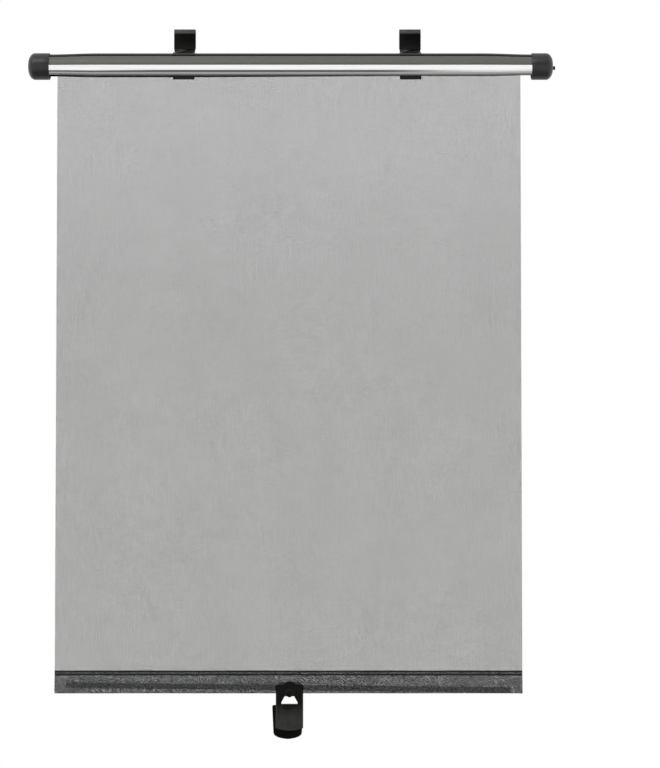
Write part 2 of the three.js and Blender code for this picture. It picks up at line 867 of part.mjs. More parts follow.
function tongueOutline() {
  const neck = backNeckWidth / 2;
  const half = tongueWidth / 2;
  const low = half - tongueTaper / 2;
  const middle = tabCentre + tongueOffset;
  const corner = tongueCorner;
  const shape = new THREE.Shape();
  shape.moveTo(middle - low, -tongueBottom + corner);
  shape.quadraticCurveTo(middle - low, -tongueBottom + 1, middle, -tongueBottom);
  shape.quadraticCurveTo(middle + low, -tongueBottom + 1, middle + low, -tongueBottom + corner);
  shape.lineTo(middle + half, -tongueTop - tongueShoulder);
  shape.quadraticCurveTo(middle + half, -tongueTop, middle + half - tongueShoulder, -tongueTop);
  shape.lineTo(tabCentre + neck, -tongueTop);
  shape.lineTo(tabCentre + neck, -backTop);
  shape.lineTo(tabCentre - neck, -backTop);
  shape.lineTo(tabCentre - neck, -tongueTop);
  shape.lineTo(middle - half + tongueShoulder, -tongueTop);
  shape.quadraticCurveTo(middle - half, -tongueTop, middle - half, -tongueTop - tongueShoulder);
  return shape;
}

function pullTabBack() {
  const plate = toSolid(extrudeAlongY(tongueOutline(), backFrontFace, backThickness));
  const opening = toSolid(extrudeAlongY(tabWindow(), backFrontFace - 2, backThickness + 4));
  return toGeometry(plate.subtract(opening).subtract(stemThrough(rivetStem + fitGap)));
}

function tabRivet() {
  const frontSeat = tabBackFace - tabThickness - rivetBossHeight - slipGap;
  const backSeat = backFrontFace + backThickness + slipGap;
  const crown = rivetHeadHeight;
  const profile = [
    [0, frontSeat - crown],
    [rivetHead * 0.5, frontSeat - crown * 0.94],
    [rivetHead * 0.87, frontSeat - crown * 0.7],
    [rivetHead, frontSeat - crown * 0.3],
    [rivetHead, frontSeat],
    [rivetStem, frontSeat],
    [rivetStem, backSeat],
    [rivetHead, backSeat],
    [rivetHead, backSeat + crown * 0.4],
    [rivetHead * 0.7, backSeat + crown * 0.7],
    [0, backSeat + crown * 0.7],
  ];
  const geometry = turn(profile, 20);
  geometry.rotateZ(Math.PI / 2);
  geometry.translate(tabCentre, 0, -rivetDrop);
  return facingOut(geometry);
}

const cassette = new THREE.Group();
cassette.position.set(0, axisY, axisZ);
cassette.add(
  namedMesh('housing_shell', housingShell(), finishes.blackPlastic),
  namedMesh('front_cover', frontCover(), finishes.greyCover),
  namedMesh('chrome_trim', chromeTrim(), finishes.chrome),
  namedMesh('end_cap_left', endCapLeft(), finishes.blackPlastic),
  namedMesh('end_cap_right', endCapRight(), finishes.blackPlastic),
  namedMesh('window_hook_left', windowHook(hookCentres.left), finishes.blackPlastic),
  namedMesh('window_hook_right', windowHook(hookCentres.right), finishes.blackPlastic),
);

const roller = new THREE.Group();
roller.position.z = -rollerOffset;
roller.add(
  namedMesh('roller_tube', rollerTube(), finishes.steel),
  namedMesh('roller_plug_left', rollerPlugLeft(), finishes.nylon),
  namedMesh('roller_plug_right', rollerPlugRight(), finishes.nylon),
  namedMesh('spring_anchor', springAnchor(), finishes.nylon),
  namedMesh('torsion_spring', torsionSpring(), finishes.steel),
  namedMesh('fabric_spline', fabricSpline(), finishes.nylon),
  namedMesh('fabric_roll', fabricRoll(), finishes.meshFabric),
);
cassette.add(roller);

const release = new THREE.Group();
release.position.z = -rollerOffset;
release.add(
  namedMesh('release_button', releaseButton(), finishes.blackPlastic),
  namedMesh('spring_arbor', springArbor(), finishes.steel),
  namedMesh('brake_disc', brakeDisc(), finishes.nylon),
  namedMesh('button_spring', buttonSpring(), finishes.steel),
);
cassette.add(release);

const blind = new THREE.Group();
blind.add(
  namedMesh('fabric_screen', fabricScreen(), finishes.meshFabric),
  namedMesh('fabric_hem', fabricHem(), finishes.meshFabric),
  namedMesh('bottom_bar', bottomBar(), finishes.blackPlastic),
  namedMesh('pull_tab_front', pullTabFront(), finishes.blackPlastic),
  namedMesh('pull_tab_back', pullTabBack(), finishes.blackPlastic),
  namedMesh('tab_rivet', tabRivet(), finishes.blackPlastic),
);
cassette.add(blind);

const sunshade = new THREE.Group();
sunshade.add(cassette);

export default sunshade;
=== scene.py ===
import json
import math
import random

import bmesh
import bpy
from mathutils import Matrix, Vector


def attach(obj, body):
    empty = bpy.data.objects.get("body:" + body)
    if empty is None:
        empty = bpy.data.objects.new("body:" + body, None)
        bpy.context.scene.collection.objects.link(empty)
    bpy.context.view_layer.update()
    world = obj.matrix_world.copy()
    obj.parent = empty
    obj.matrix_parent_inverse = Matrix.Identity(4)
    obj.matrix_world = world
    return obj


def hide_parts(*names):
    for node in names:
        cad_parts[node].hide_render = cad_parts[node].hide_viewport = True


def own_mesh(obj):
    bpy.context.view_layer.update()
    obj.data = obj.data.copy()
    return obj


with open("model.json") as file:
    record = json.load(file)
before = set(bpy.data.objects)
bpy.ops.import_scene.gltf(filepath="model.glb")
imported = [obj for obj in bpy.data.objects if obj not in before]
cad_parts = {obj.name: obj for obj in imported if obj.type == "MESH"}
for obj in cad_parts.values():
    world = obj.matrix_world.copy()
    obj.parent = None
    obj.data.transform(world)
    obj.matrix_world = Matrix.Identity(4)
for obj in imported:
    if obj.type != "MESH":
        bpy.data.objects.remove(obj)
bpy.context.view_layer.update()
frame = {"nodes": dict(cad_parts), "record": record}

MM = 0.001

# Sizes in millimetres, repeated from the solids. The cassette's axis runs along X.
AXIS_Y = -14.5
AXIS_Z = -32.7

# The cassette: shell, cover and trim strips, and the caps over their ends
MOUTH_X = 208.0
HOUSING_END = 218.0
HOUSING_RADIUS = 11.35
SHELL_INNER = 8.9
SHELL_OUTER = 9.6
BACK_INNER = 10.65
COVER_INNER = 10.4
RIB_SEAT = 9.75
RIB_WIDTH = 1.0
RIB_INSET = 5.0
END_PINCH = 0.95
PINCH_LENGTH = 42.0
STEP_ANGLE = 49.0
COVER_TOP = 43.0
TRIM_TOP = 1.0
TRIM_LOW = -50.0
SEAM_WIDTH = 0.15
SLOT_FRONT = -45.0
SLOT_REAR = 226.0
SLOT_OPENING = 9.0
SLOT_SPAN = 240.0
CAP_RADIUS = 11.5
CAP_BORE = 10.7
CAP_TIP = 226.5
CAP_WALL = 1.4
CAP_RIM = 0.3
DOME_DEPTH = 6.0
DOME_FLAT = 2.6
COLLAR_OUTER = 7.5
COLLAR_INNER = 6.6
COLLAR_INSET = 0.8
BUTTON_BORE = 2.15

# The hooks
HOOKS = {"left": -92.1, "right": 103.5}
HOOK_WIDTH = 18.6
HOOK_GAP = 0.3
NECK_HALF = 8.95
NECK_LOW = 12.55
NECK_HIGH = 16.2

# The button's return spring
SPRING_SEAT = 205.3

# The screen, the roll and the hem
ROLLER_SINK = 1.3
ROLL_START = 4.65
ROLL_GROWTH = 0.45
ROLL_TURNS = 1.5
FABRIC_LEFT = -200.9
FABRIC_RIGHT = 198.1
FABRIC_PLANE = -5.1
SCREEN_TOP = -1.6
SCREEN_END = -522.4
HEM_TOP = -519.4
HEM_BOTTOM = -538.8
HEM_BACK = -5.0
POUCH_DEPTH = 2.6
PUCKER_HEIGHT = 0.28
STITCH_DROP = 3.1
STITCH_PITCH = 2.6
STITCH_LENGTH = 2.2
STITCH_RADIUS = 0.24

# The pull tab
TAB_CENTRE = -0.5
TONGUE_CENTRE = -2.1
TONGUE_GROWTH = 1.07
RIVET_DROP = -539.1
WINDOW_TOP = -540.9
WINDOW_SILL = -548.3
WINDOW_TOP_HALF = 4.0
WINDOW_SLOPE = 3.05
SILL_RISE = 0.5

# The stage, in metres
FLOOR_Z = -1.0
FLOOR_HALF = 1.6
CAMERA_PLACE = (0.034, -2.2124, -0.4032)
CAMERA_TILT = 92.5
CAMERA_LENS = 120.0


def near_axis(y, z):
    """A point given from the cassette's axis, in metres in the row's frame."""
    return (AXIS_Y + y) * MM, (AXIS_Z + z) * MM


def polar(radius, degrees):
    """Angles start at the cabin side and are positive upwards."""
    a = math.radians(degrees)
    return -radius * math.cos(a), radius * math.sin(a)


def arc(radius, start, end, count):
    return [polar(radius, start + (end - start) * i / count) for i in range(count + 1)]


def smooth(t):
    t = min(1.0, max(0.0, t))
    return t * t * (3 - 2 * t)


def pinch_at(x):
    """The strips of the cassette draw in towards both caps."""
    return END_PINCH * smooth((abs(x) - (MOUTH_X - PINCH_LENGTH)) / PINCH_LENGTH)


class Value:
    """One socket of a shader. An expression on values adds its Math nodes."""

    def __init__(self, recipe, socket):
        self.recipe = recipe
        self.socket = socket

    def maths(self, operation, *others):
        return self.recipe.maths(operation, self, *others)

    def __add__(self, other):
        return self.maths("ADD", other)

    __radd__ = __add__

    def __sub__(self, other):
        return self.maths("SUBTRACT", other)

    def __rsub__(self, other):
        return self.recipe.maths("SUBTRACT", other, self)

    def __mul__(self, other):
        return self.maths("MULTIPLY", other)

    __rmul__ = __mul__

    def __truediv__(self, other):
        return self.maths("DIVIDE", other)

    def __rtruediv__(self, other):
        return self.recipe.maths("DIVIDE", other, self)

    def __neg__(self):
        return self.maths("MULTIPLY", -1.0)

    def __pow__(self, other):
        return self.maths("POWER", other)

    def cos(self):
        return self.maths("COSINE")

    def clamped(self):
        return self.recipe.add("ShaderNodeClamp", {}, {"Value": self})

    def stepped(self, low, high, start=0.0, end=1.0):
        """Rises smoothly from start to end as this value goes from low to high."""
        sockets = {"Value": self, "From Min": low, "From Max": high, "To Min": start, "To Max": end}
        return self.recipe.add("ShaderNodeMapRange", {"interpolation_type": "SMOOTHSTEP"}, sockets)


class Recipe:
    """The nodes of one material, or of the world."""

    def __init__(self, tree):
        self.tree = tree
        tree.nodes.clear()

    def feed(self, socket, value):
        if isinstance(value, Value):
            self.tree.links.new(value.socket, socket)
        elif isinstance(value, (tuple, list)) and len(value) == 3 and socket.type == "RGBA":
            socket.default_value = (*value, 1.0)
        else:
            socket.default_value = value

    def add(self, kind, settings=None, sockets=None, output=0):
        node = self.tree.nodes.new(kind)
        for name, value in (settings or {}).items():
            setattr(node, name, value)
        for key, value in (sockets or {}).items():
            self.feed(node.inputs[key], value)
        return Value(self, node.outputs[output]) if len(node.outputs) else None

    def maths(self, operation, *values):
        return self.add("ShaderNodeMath", {"operation": operation}, dict(enumerate(values)))

    def mixed(self, share, first, second):
        """A colour between two colours."""
        settings = {"data_type": "RGBA"}
        return self.add("ShaderNodeMix", settings, {0: share, 6: first, 7: second}, output=2)

    def places(self):
        """The three object coordinates in millimetres."""
        vector = self.add("ShaderNodeTexCoord", output=3)
        split = self.tree.nodes.new("ShaderNodeSeparateXYZ")
        self.feed(split.inputs[0], vector)
        return [Value(self, split.outputs[i]) * 1000.0 for i in range(3)]

    def point(self, x, y, z):
        return self.add("ShaderNodeCombineXYZ", {}, {0: x, 1: y, 2: z})

    def noise(self, vector, scale, detail=2.0, roughness=0.5):
        sockets = {"Vector": vector, "Scale": scale, "Detail": detail, "Roughness": roughness}
        return self.add("ShaderNodeTexNoise", {}, sockets)

    def bumped(self, height, distance, strength=1.0):
        sockets = {"Strength": strength, "Distance": distance, "Height": height}
        return self.add("ShaderNodeBump", {}, sockets)


def finish_of(name, paint, **constants):
    """A material with one Principled shader. paint gives the sockets that change over the surface."""
    material = bpy.data.materials.new(name)
    material.use_nodes = True
    recipe = Recipe(material.node_tree)
    sockets = {key.replace("_", " "): value for key, value in constants.items()}
    sockets.update(paint(recipe))
    shader = recipe.add("ShaderNodeBsdfPrincipled", {}, sockets)
    recipe.add("ShaderNodeOutputMaterial", {}, {"Surface": shader})
    return material


def moulded(name, colour, roughness, grain=0.5, grain_depth=0.012, specular=0.5):
    """Moulded plastic: a fine spark-eroded grain, slight flow marks and dust."""

    def paint(r):
        x, y, z = r.places()
        place = r.point(x, y, z)
        cells = r.noise(place, 1.0 / grain, 3.0, 0.6)
        flow = r.noise(r.point(x * 0.35, y, z), 0.12, 2.0)
        dust = r.noise(place, 0.9, 5.0, 0.7).stepped(0.55, 0.8)
        light = tuple(min(1.0, c * 1.25 + 0.004) for c in colour)
        tone = r.mixed(flow.stepped(0.3, 0.75, 0.0, 0.6), colour, light)
        dusty = tuple(min(1.0, c + 0.035) for c in colour)
        return {
            "Base Color": r.mixed(dust * 0.35, tone, dusty),
            "Roughness": (roughness + (flow - 0.5) * 0.12 + dust * 0.08).clamped(),
            "Normal": r.bumped(cells, grain_depth * MM),
        }

    return finish_of(name, paint, Specular_IOR_Level=specular)


def cover_paint(r):
    """Satin grey with a faint grain along the strip."""
    x, y, z = r.places()
    grain = r.noise(r.point(x * 0.08, y, z), 1.6, 3.0)
    cells = r.noise(r.point(x, y, z), 2.2, 3.0, 0.6)
    tone = r.mixed(grain.stepped(0.3, 0.75), (0.108, 0.108, 0.101), (0.136, 0.136, 0.128))
    return {
        "Base Color": tone,
        "Roughness": 0.42 + (grain - 0.5) * 0.14,
        "Normal": r.bumped(cells, 0.008 * MM),
    }


def trim_paint(r):
    """Polished strip with drawing lines and a little haze."""
    x, y, z = r.places()
    brushed = r.noise(r.point(x * 0.02, y * 2.0, z * 2.0), 2.0, 3.0)
    haze = r.noise(r.point(x * 0.05, y, z), 0.5, 2.0)
    return {
        "Base Color": r.mixed(haze.stepped(0.3, 0.8), (0.92, 0.92, 0.915), (0.86, 0.86, 0.85)),
        "Roughness": 0.085 + haze.stepped(0.35, 0.8, 0.0, 0.05),
        "Normal": r.bumped(brushed, 0.0015 * MM),
    }


def knit(x, z, wale, course, threshold):
    """Rounded meshes between the yarns, in staggered rows. It is 1 on yarn and 0 in a hole."""
    across = x * (math.pi / wale)
    along = z * (math.pi / course)
    field = (across + along).cos() + (across - along).cos()
    return 1.0 - (field - threshold).stepped(-0.10, 0.10), field


def screen_paint(r):
    """Open mesh, a little denser towards the hem, with faint ribs and streaks along its wales."""
    x, _, z = r.places()
    streak = r.noise(r.point(x * 0.55, 0.0, z * 0.07), 1.0, 2.0)
    fine = r.noise(r.point(x * 1.1, 0.0, z * 0.35), 1.0, 2.0)
    patch = r.noise(r.point(x * 0.02, 0.0, z * 0.012), 1.0, 3.0)
    drop = (-z - 45.0) / 510.0
    closing = drop.stepped(0.0, 0.45, 0.115, 0.268) + drop.stepped(0.45, 1.0, 0.0, 0.020)
    rib = (x * (2.0 * math.pi / 1.75)).cos()
    uneven = (streak - 0.5) * 0.34 + (fine - 0.5) * 0.30 + (patch - 0.5) * 0.12 + rib * 0.05
    threshold = closing + 0.020 + uneven
    yarn, field = knit(x, z + streak * 4.0 + fine * 3.0, 0.43, 0.39, threshold)
    upper = r.mixed(fine.stepped(0.3, 0.7), (0.046, 0.047, 0.044), (0.068, 0.068, 0.066))
    lower = r.mixed(fine.stepped(0.3, 0.7), (0.050, 0.057, 0.036), (0.070, 0.078, 0.056))
    tone = r.mixed(drop.stepped(0.1, 0.8), upper, lower)
    return {
        "Base Color": tone,
        "Roughness": 0.72 + (fine - 0.5) * 0.2,
        "Alpha": yarn,
        "Normal": r.bumped(-field, 0.05 * MM, 0.6),
    }


def hem_paint(r):
    """Crumpled mesh, closed and darker where the fold lays it double, and along the seam, where the dark
    band is partly the sewn layers and partly painted shade from the sewing's puckers.
    """
    x, y, z = r.places()
    warp = r.noise(r.point(x * 0.05, y * 0.3, z * 0.10), 1.0, 3.0)
    loops = r.noise(r.point(x * 0.62 + z * 0.25, y, z * 0.75), 1.0, 1.0, 0.6)
    drop = (HEM_TOP + AXIS_Z) - z + (warp - 0.5) * 0.9
    folded = 1.0 - drop.stepped(0.9, 1.5)
    # Painted shade: the band along the seam is drawn closed and dark, standing in for the shadow line
    # that the puckered seam casts.
    seam_shade = drop.stepped(2.7, 3.2) * (1.0 - drop.stepped(3.9, 4.5))
    doubled_and_shaded = (folded + seam_shade).clamped()
    twill = (x * 1.9 + z * 2.3).cos() * (x * 0.36 + warp * 5.0).cos().stepped(0.1, 0.9)
    threshold = 0.67 + doubled_and_shaded * 1.6 + (loops - 0.5) * 1.5 - twill * 0.4
    yarn, field = knit(x + warp * 2.0, z + loops * 2.0, 0.50, 0.44, threshold)
    open_tone = r.mixed(loops.stepped(0.35, 0.68), (0.014, 0.015, 0.015), (0.115, 0.117, 0.119))
    dark_tone = r.mixed(loops.stepped(0.4, 0.7), (0.004, 0.004, 0.004), (0.024, 0.025, 0.023))
    tone = r.mixed(doubled_and_shaded, open_tone, dark_tone)
    return {
        "Base Color": tone,
        "Roughness": 0.66 + (warp - 0.5) * 0.25,
        "Alpha": yarn,
        "Normal": r.bumped(-field, 0.05 * MM, 0.6),
    }


def thread_paint(r):
    x, _, z = r.places()
    ply = (x * 9.0 + z * 14.0).cos()
    return {
        "Base Color": r.mixed(ply.stepped(-0.6, 0.6), (0.010, 0.010, 0.010), (0.030, 0.030, 0.031)),
        "Roughness": 0.6 + ply * 0.1,
        "Normal": r.bumped(ply, 0.03 * MM),
    }


def hook_paint(r):
    """Satin black, with a painted highlight in a paler band along the crown."""
    x, y, z = r.places()
    cells = r.noise(r.point(x, y, z), 2.0, 3.0, 0.6)
    mottle = r.noise(r.point(x * 0.3, y, z), 0.6, 3.0)
    # Painted highlight: the crown band gets a paler base colour in place of light caught on the rounded
    # crown; its roughness is raised too.
    crown = z.stepped(-2.8, -0.9) * (1.0 - z.stepped(0.7, 1.5))
    crown_highlight_tone = r.mixed(mottle.stepped(0.3, 0.75), (0.060, 0.060, 0.056), (0.078, 0.078, 0.073))
    return {
        "Base Color": r.mixed(crown, (0.0025, 0.0025, 0.0022), crown_highlight_tone),
        "Roughness": 0.24 + crown * 0.18 + (mottle - 0.5) * 0.10,
        "Normal": r.bumped(cells, 0.010 * MM),
    }


def tab_paint(r):
    """Painted light and shade on the plate: dark at its top, painted paler on its lower front where its
    flare faces the light, with a painted highlight ring round the rivet and painted shade in the scoop
    under the window.
    """
    x, y, z = r.places()
    place = r.point(x, y, z)
    cells = r.noise(place, 2.0, 3.0, 0.6)
    mottle = r.noise(r.point(x * 0.4, y, z * 0.25), 0.5, 3.0)
    # Painted light: the lower front of the plate gets a paler colour, standing in for light on its
    # upward-facing flare.
    low = (-z).stepped(577.0, 592.0)
    front = (-y).stepped(22.0, 25.0)
    painted_lit_tone = r.mixed(mottle.stepped(0.3, 0.75), (0.028, 0.028, 0.025), (0.038, 0.038, 0.034))
    aside = x - TAB_CENTRE
    boss = ((aside ** 2.0) + ((z - AXIS_Z - RIVET_DROP) ** 2.0)) ** 0.5
    # Painted highlight: a paler ring round the rivet's boss stands in for light caught on it.
    ring = boss.stepped(2.9, 3.4) * (1.0 - boss.stepped(4.0, 4.4)) * front * 0.6
    # Painted shade: the hollow under the window's sill is darkened in the colour, standing in for the
    # shade that falls into it.
    scoop = ((aside / 6.9) ** 2.0) + (((z - AXIS_Z - WINDOW_SILL) / 5.0) ** 2.0)
    painted_scoop_shade = (1.0 - scoop.stepped(0.75, 1.05)) * front
    plate = r.mixed(low * front, (0.004, 0.004, 0.0036), painted_lit_tone)
    return {
        "Base Color": r.mixed(painted_scoop_shade, r.mixed(ring, plate, (0.022, 0.022, 0.020)), (0.005, 0.005, 0.005)),
        "Roughness": 0.40 + (mottle - 0.5) * 0.15,
        "Normal": r.bumped(cells, 0.012 * MM),
    }


def drawn_metal(name, colour, roughness):
    def paint(r):
        x, y, z = r.places()
        lines = r.noise(r.point(x * 0.1, y * 3.0, z * 3.0), 1.5, 3.0)
        dark = tuple(c * 0.72 for c in colour)
        return {
            "Base Color": r.mixed(lines.stepped(0.3, 0.75), dark, colour),
            "Roughness": roughness + (lines - 0.5) * 0.2,
            "Normal": r.bumped(lines, 0.004 * MM),
        }

    return finish_of(name, paint, Metallic=1.0)


finishes = {
    "black_shell": moulded("black_shell", (0.008, 0.008, 0.0075), 0.40, specular=0.15),
    "grey_cover": finish_of("grey_cover", cover_paint, Specular_IOR_Level=0.3),
    "bright_trim": finish_of("bright_trim", trim_paint, Metallic=1.0),
    "black_cap": moulded("black_cap", (0.009, 0.009, 0.0085), 0.40, specular=0.5),
    "black_hook": finish_of("black_hook", hook_paint, Specular_IOR_Level=0.2),
    "tube_metal": drawn_metal("tube_metal", (0.62, 0.62, 0.63), 0.35),
    "nylon": moulded("nylon", (0.66, 0.65, 0.60), 0.5, grain=0.8),
    "spring_steel": drawn_metal("spring_steel", (0.46, 0.46, 0.47), 0.28),
    "screen_mesh": finish_of("screen_mesh", screen_paint, Specular_IOR_Level=0.2),
    "hem_mesh": finish_of("hem_mesh", hem_paint, Specular_IOR_Level=0.2),
    "bar_plastic": moulded("bar_plastic", (0.085, 0.090, 0.093), 0.45, specular=0.4),
    "black_tab": finish_of("black_tab", tab_paint, Specular_IOR_Level=0.1),
    "rivet_plastic": moulded("rivet_plastic", (0.003, 0.003, 0.003), 0.3, specular=0.1),
}
thread = finish_of("hem_thread", thread_paint, Specular_IOR_Level=0.3)

SLOTS = {row["node"]: row["material_slot"] for row in frame["record"]["subparts"]}
for node, piece in frame["nodes"].items():
    piece.data.materials.clear()
    piece.data.materials.append(finishes[SLOTS[node]])


def mesh_piece(name, points, faces, shaded=True):
    """A piece from points in metres in the row's frame."""
    mesh = bpy.data.meshes.new(name)
    mesh.from_pydata(points, [], faces)
    mesh.update()
    piece = bpy.data.objects.new(name, mesh)
    bpy.context.scene.collection.objects.link(piece)
    face_out(piece)
    if shaded:
        shade(piece)
    return piece


def face_out(piece):
    form = bmesh.new()
    form.from_mesh(piece.data)
    bmesh.ops.recalc_face_normals(form, faces=form.faces)
    form.to_mesh(piece.data)
    form.free()


def shade(piece, degrees=35.0):
    for face in piece.data.polygons:
        face.use_smooth = True
    piece.data.set_sharp_from_angle(angle=math.radians(degrees))


def settle(piece):
    """The modifiers' result becomes the piece's own mesh."""
    bpy.context.view_layer.update()
    evaluated = piece.evaluated_get(bpy.context.evaluated_depsgraph_get())
    mesh = bpy.data.meshes.new_from_object(evaluated)
    piece.modifiers.clear()
    piece.data = mesh
    return piece


def softened(piece, width, segments=2):
    """Moulded edges are never sharp."""
    bevel = piece.modifiers.new("edge", "BEVEL")
    bevel.width = width * MM
    bevel.segments = segments
    bevel.limit_method = "ANGLE"
    bevel.angle_limit = math.radians(30.0)
    bevel.harden_normals = False
    settle(piece)
    shade(piece, 50.0)
    return piece


def dress(piece, slot, body, *nodes):
    """The piece takes its finish, moves with its body and stands for its nodes."""
    piece.data.materials.clear()
    piece.data.materials.append(finishes[slot])
    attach(piece, body)
    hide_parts(*nodes)
    return piece


def swept(name, section_at, stations):
    """A closed section in (y, z) about the cassette's axis, carried along X."""
    points = []
    faces = []
    count = len(section_at(stations[0]))
    for x in stations:
        for y, z in section_at(x):
            points.append((x * MM, *near_axis(y, z)))
    for i in range(len(stations) - 1):
        for j in range(count):
            k = (j + 1) % count
            faces.append((i * count + j, i * count + k, (i + 1) * count + k, (i + 1) * count + j))
    faces.append(tuple(range(count)))
    faces.append(tuple(range((len(stations) - 1) * count, len(stations) * count)))
    return mesh_piece(name, points, faces)


def turned(name, profile, side, segments=96):
    """A profile of (radius, x) turned about the cassette's axis. side is -1 for the left end."""
    points = []
    faces = []
    rings = []
    for radius, x in profile:
        if radius < 1e-6:
            rings.append([len(points)])
            points.append((side * x * MM, *near_axis(0.0, 0.0)))
            continue
        rings.append(list(range(len(points), len(points) + segments)))
        for i in range(segments):
            points.append((side * x * MM, *near_axis(*polar(radius, 360.0 * i / segments))))
    for first, second in zip(rings, rings[1:]):
        for i in range(segments):
            k = (i + 1) % segments
            around = ((first, i), (first, k), (second, k), (second, i))
            corners = [ring[j % len(ring)] for ring, j in around]
            faces.append(tuple(dict.fromkeys(corners)))
    return mesh_piece(name, points, faces)


def stations_along(step=12.0, extra=()):
    inner = MOUTH_X - PINCH_LENGTH
    places = {-HOUSING_END, HOUSING_END, *extra}
    count = 14
    for i in range(count + 1):
        x = inner + PINCH_LENGTH * i / count
        places.update((x, -x))
    span = int(2 * inner / step)
    places.update(-inner + 2 * inner * i / span for i in range(1, span))
    return sorted(places)


def pinched(points, x):
    pinch = pinch_at(x)
    moved = []
    for y, z in points:
        radius = math.hypot(y, z)
        scale = (radius - pinch) / radius
        moved.append((y * scale, z * scale))
    return moved


def shell_section(x):
    web = STEP_ANGLE + math.degrees((SHELL_OUTER - SHELL_INNER) / SHELL_INNER)
    rear = SLOT_REAR - SLOT_OPENING * smooth(x / SLOT_SPAN + 0.5)
    outer = arc(SHELL_OUTER, SLOT_FRONT, STEP_ANGLE, 24) + arc(HOUSING_RADIUS, STEP_ANGLE, rear, 54)
    inner = arc(BACK_INNER, rear, web, 54) + arc(SHELL_INNER, web, SLOT_FRONT, 24)
    return pinched(outer + inner, x)


def near_hook(x):
    return any(abs(x - hook) < HOOK_WIDTH / 2 + HOOK_GAP for hook in HOOKS.values())


def strip_section(top, bottom, rib_at):
    """A strip over the shell's front, with a rib that stands on the shell except behind a hook."""
    rib = math.degrees(RIB_WIDTH / COVER_INNER)
    if rib_at == "top":
        low, high = top - RIB_INSET - rib, top - RIB_INSET
    else:
        low, high = bottom + RIB_INSET, bottom + RIB_INSET + rib
    above, below = (4, 20) if rib_at == "top" else (20, 4)

    def section(x):
        seat = COVER_INNER - 0.02 if near_hook(x) else RIB_SEAT
        points = arc(HOUSING_RADIUS, bottom, top, 30) + arc(COVER_INNER, top, high, above)
        points += [polar(seat, high), polar(seat, low)]
        return pinched(points + arc(COVER_INNER, low, bottom, below), x)

    return section


NOTCHES = []
for hook_x in HOOKS.values():
    for edge in (-HOOK_WIDTH / 2 - HOOK_GAP, HOOK_WIDTH / 2 + HOOK_GAP):
        NOTCHES += [hook_x + edge - 0.02, hook_x + edge + 0.02]

shell = softened(swept("housing_profile", shell_section, stations_along()), 0.12)
dress(shell, "black_shell", "cassette", "housing_shell")

strip_stations = stations_along(extra=NOTCHES)
cover = swept("cover_strip", strip_section(COVER_TOP, TRIM_TOP, "top"), strip_stations)
dress(softened(cover, 0.10), "grey_cover", "cassette", "front_cover")

seam = math.degrees(SEAM_WIDTH / HOUSING_RADIUS)
trim = swept("trim_strip", strip_section(TRIM_TOP - seam, TRIM_LOW, "bottom"), strip_stations)
dress(softened(trim, 0.10), "bright_trim", "cassette", "chrome_trim")


def dome(count=24):
    """The cap's rounded end, from its straight side to its flat tip."""
    points = []
    for i in range(count + 1):
        a = math.pi / 2 * i / count
        radius = DOME_FLAT + (CAP_RADIUS - DOME_FLAT) * math.cos(a)
        points.append((radius, CAP_TIP - DOME_DEPTH + DOME_DEPTH * math.sin(a)))
    return points


def end_cap(name, side, bore, node):
    """A domed cup, hollow inside, with a collar for the shell. A bore in its end lets the button out."""
    floor_x = CAP_TIP - CAP_WALL
    outside = [(CAP_BORE, MOUTH_X), (CAP_RADIUS - CAP_RIM, MOUTH_X)]
    outside += [(CAP_RADIUS - 0.3 * CAP_RIM, MOUTH_X + 0.3 * CAP_RIM), (CAP_RADIUS, MOUTH_X + CAP_RIM)]
    outside += [(CAP_RADIUS, MOUTH_X + DOME_DEPTH), *dome()]
    end = [(bore, CAP_TIP), (bore, floor_x)]
    collar = [(COLLAR_INNER, floor_x - 0.2), (COLLAR_INNER, MOUTH_X + COLLAR_INSET)]
    collar += [(COLLAR_OUTER, MOUTH_X + COLLAR_INSET), (COLLAR_OUTER, floor_x - 0.5)]
    inside = [(8.3, floor_x - 0.9), (10.1, CAP_TIP - 3.8)]
    inside += [(CAP_BORE, CAP_TIP - DOME_DEPTH), (CAP_BORE, MOUTH_X)]
    return dress(turned(name, outside + end + collar + inside, side), "black_cap", "cassette", node)


end_cap("cap_left", -1.0, 0.0, "end_cap_left")
end_cap("cap_right", 1.0, BUTTON_BORE, "end_cap_right")


def reworked(name, node, width, segments=2, change=None):
    """A node's own shape, with the rounded edges that moulding leaves."""
    piece = bpy.data.objects.new(name, frame["nodes"][node].data.copy())
    bpy.context.scene.collection.objects.link(piece)
    form = bmesh.new()
    form.from_mesh(piece.data)
    bmesh.ops.remove_doubles(form, verts=form.verts, dist=2e-6)
    bmesh.ops.dissolve_limit(form, angle_limit=math.radians(0.6), verts=form.verts, edges=form.edges)
    if change:
        change(form)
    bmesh.ops.recalc_face_normals(form, faces=form.faces)
    form.to_mesh(piece.data)
    form.free()
    return softened(piece, width, segments)


def widened_at(centre):
    """The neck between the leaf and the foot is hardly narrower than both."""

    def change(form):
        for vertex in form.verts:
            across = vertex.co.x / MM - centre
            high = vertex.co.z / MM - AXIS_Z
            if NECK_LOW < high < NECK_HIGH and 8.0 < abs(across) < 8.4:
                vertex.co.x = (centre + math.copysign(NECK_HALF, across)) * MM

    return change


for side, hook_x in HOOKS.items():
    hook = reworked(f"hook_{side}", f"window_hook_{side}", 0.16, change=widened_at(hook_x))
    dress(hook, "black_hook", "cassette", f"window_hook_{side}")


